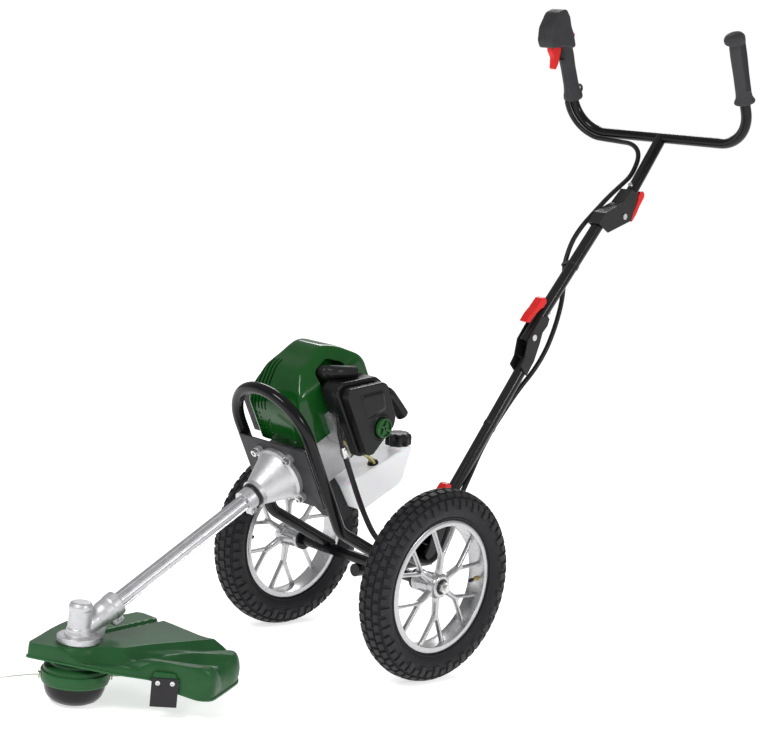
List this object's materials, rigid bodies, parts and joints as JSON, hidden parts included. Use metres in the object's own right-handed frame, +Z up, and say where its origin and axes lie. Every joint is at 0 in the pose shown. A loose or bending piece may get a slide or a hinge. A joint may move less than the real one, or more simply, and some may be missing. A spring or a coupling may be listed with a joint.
{
  "type": "wheeled brush cutter",
  "caption": "Two-wheeled string trimmer: petrol engine on a tube hoop, sloping drive shaft to a guarded line head, and a folding column with a bent handlebar.",
  "frame": {"origin": "on the ground, under the middle of the machine's overall box, with both wheels and the bump knob resting on the ground", "axes": "+Z up; -Y forward, from the handlebar to the trimmer head; +X to the side of the plain hand grip and the air filter; the throttle handle is on the -X side"},
  "size_m": [0.5, 1.5771, 1.2973],
  "materials": {
    "tyre_rubber": "matte",
    "wheel_alloy": "satin",
    "bright_steel": "satin",
    "black_paint": "gloss",
    "grey_plate": "satin",
    "cast_alloy": "satin",
    "shaft_alloy": "satin",
    "green_gloss": "gloss",
    "green_ribbed": "satin",
    "black_plastic": "satin",
    "red_plastic": "gloss",
    "white_tank": "satin",
    "hose_clear": "satin",
    "cable_black": "satin",
    "grip_foam": "matte",
    "line_nylon": "gloss",
    "dark_steel": "satin"
  },
  "bodies": {
    "frame": {"main_hoop": "black_paint", "axle_beam": "black_paint", "axle_rod": "bright_steel", "wheel_bearings": "bright_steel", "mount_plate": "grey_plate", "machine_screws": "bright_steel", "clutch_housing": "cast_alloy", "shaft_collar": "cast_alloy", "shaft_tube": "shaft_alloy", "gear_case": "cast_alloy", "debris_guard": "green_ribbed", "line_cutter": "dark_steel", "crankcase": "cast_alloy", "cylinder": "cast_alloy", "engine_cowl": "green_gloss", "starter_housing": "black_plastic", "muffler": "dark_steel", "carburettor": "cast_alloy", "filter_base": "black_plastic", "filter_cover": "black_plastic", "plug_boot": "cable_black", "fuel_tank": "white_tank", "fuel_hoses": "hose_clear", "tank_foot": "black_plastic", "engine_cable": "cable_black"},
    "drive_line": {"drive_shaft": "bright_steel", "clutch_drum": "bright_steel"},
    "crank": {"crankshaft": "bright_steel"},
    "trimmer_head": {"output_spindle": "bright_steel", "trimmer_housing": "green_ribbed", "line_spool": "black_plastic", "trimmer_line": "line_nylon"},
    "bump_button": {"bump_knob": "black_plastic"},
    "left_wheel": {"tyre_left": "tyre_rubber", "rim_left": "wheel_alloy"},
    "right_wheel": {"tyre_right": "tyre_rubber", "rim_right": "wheel_alloy"},
    "lower_column": {"lower_tube": "black_paint", "lower_bracket": "black_paint", "base_hinge_pins": "bright_steel", "lower_cable": "cable_black"},
    "middle_column": {"middle_tube": "black_paint", "upper_bracket": "black_paint", "lower_hinge_pins": "bright_steel", "middle_cable": "cable_black"},
    "handlebars": {"handlebar": "black_paint", "upper_hinge_pins": "bright_steel", "upper_cable": "cable_black", "hand_grip": "grip_foam", "throttle_shell_left": "black_plastic", "throttle_shell_right": "black_plastic"},
    "trigger": {"trigger": "red_plastic"},
    "lockout": {"lockout_lever": "red_plastic"},
    "stop_rocker": {"stop_switch": "red_plastic"},
    "base_cam": {"base_lever": "red_plastic"},
    "lower_cam": {"lower_lever": "red_plastic"},
    "upper_cam": {"upper_lever": "red_plastic"},
    "filter_screw": {"filter_knob": "green_gloss"},
    "tank_cap": {"fuel_cap": "black_plastic"},
    "starter_pull": {"starter_handle": "black_plastic"}
  },
  "joints": [
    {"name": "left_wheel_spin", "type": "hinge", "parent": "frame", "child": "left_wheel", "pos_m": [0.2005, -0.0204, 0.18], "axis": [1, 0, 0], "continuous": true},
    {"name": "right_wheel_spin", "type": "hinge", "parent": "frame", "child": "right_wheel", "pos_m": [-0.2005, -0.0204, 0.18], "axis": [1, 0, 0], "continuous": true},
    {"name": "trimmer_head_spin", "type": "hinge", "parent": "frame", "child": "trimmer_head", "pos_m": [0, -0.6614, 0.09], "axis": [0, 0, 1], "continuous": true},
    {"name": "drive_line_spin", "type": "hinge", "parent": "frame", "child": "drive_line", "pos_m": [0, -0.44891, 0.24219], "axis": [0, 0.866, 0.5], "continuous": true},
    {"name": "crank_spin", "type": "hinge", "parent": "frame", "child": "crank", "pos_m": [0, -0.19776, 0.3872], "axis": [0, 0.866, 0.5], "continuous": true},
    {"name": "bump_knob_press", "type": "slide", "parent": "trimmer_head", "child": "bump_button", "axis": [0, 0, 1], "range_m": [0, 0.008], "stiffness_N_per_m": 8000, "springref_m": -0.006},
    {"name": "base_fold", "type": "hinge", "parent": "frame", "child": "lower_column", "pos_m": [0, 0.1806, 0.229], "axis": [1, 0, 0], "range_deg": [0, 30]},
    {"name": "lower_fold", "type": "hinge", "parent": "lower_column", "child": "middle_column", "pos_m": [0, 0.4066, 0.604], "axis": [1, 0, 0], "range_deg": [0, 105]},
    {"name": "upper_fold", "type": "hinge", "parent": "middle_column", "child": "handlebars", "pos_m": [0, 0.6606, 0.862], "axis": [1, 0, 0], "range_deg": [-140, 0]},
    {"name": "base_lever_swing", "type": "hinge", "parent": "lower_column", "child": "base_cam", "pos_m": [0, 0.20249, 0.30167], "axis": [1, 0, 0], "range_deg": [-110, 0]},
    {"name": "lower_lever_swing", "type": "hinge", "parent": "middle_column", "child": "lower_cam", "pos_m": [0, 0.43264, 0.67529], "axis": [1, 0, 0], "range_deg": [-110, 0]},
    {"name": "upper_lever_swing", "type": "hinge", "parent": "handlebars", "child": "upper_cam", "pos_m": [0, 0.72084, 0.90817], "axis": [1, 0, 0], "range_deg": [0, 110]},
    {"name": "trigger_pull", "type": "hinge", "parent": "handlebars", "child": "trigger", "pos_m": [-0.228, 0.66175, 1.21509], "axis": [1, 0, 0], "range_deg": [0, 18], "stiffness_Nm_per_rad": 0.5, "springref_deg": -17.19},
    {"name": "lockout_press", "type": "slide", "parent": "handlebars", "child": "lockout", "axis": [0, -0.9018, -0.4321], "range_m": [0, 0.006], "stiffness_N_per_m": 400, "springref_m": -0.003},
    {"name": "stop_switch_rock", "type": "hinge", "parent": "handlebars", "child": "stop_rocker", "pos_m": [-0.228, 0.67611, 1.28462], "axis": [1, 0, 0], "range_deg": [-8, 8]},
    {"name": "filter_knob_turn", "type": "hinge", "parent": "frame", "child": "filter_screw", "pos_m": [0.11, -0.12889, 0.46391], "axis": [1, 0, 0], "range_deg": [0, 360]},
    {"name": "fuel_cap_turn", "type": "hinge", "parent": "frame", "child": "tank_cap", "pos_m": [0.044, 0.00986, 0.39159], "axis": [0, -0.1045, 0.9945], "range_deg": [0, 360]},
    {"name": "starter_pull_out", "type": "slide", "parent": "frame", "child": "starter_pull", "axis": [0, 0.866, 0.5], "range_m": [0, 0.045], "stiffness_N_per_m": 100, "springref_m": -0.05}
  ],
  "couplings": [
    {"joint": "drive_line_spin", "follows": "trimmer_head_spin", "ratio": 1.3571}
  ]
}
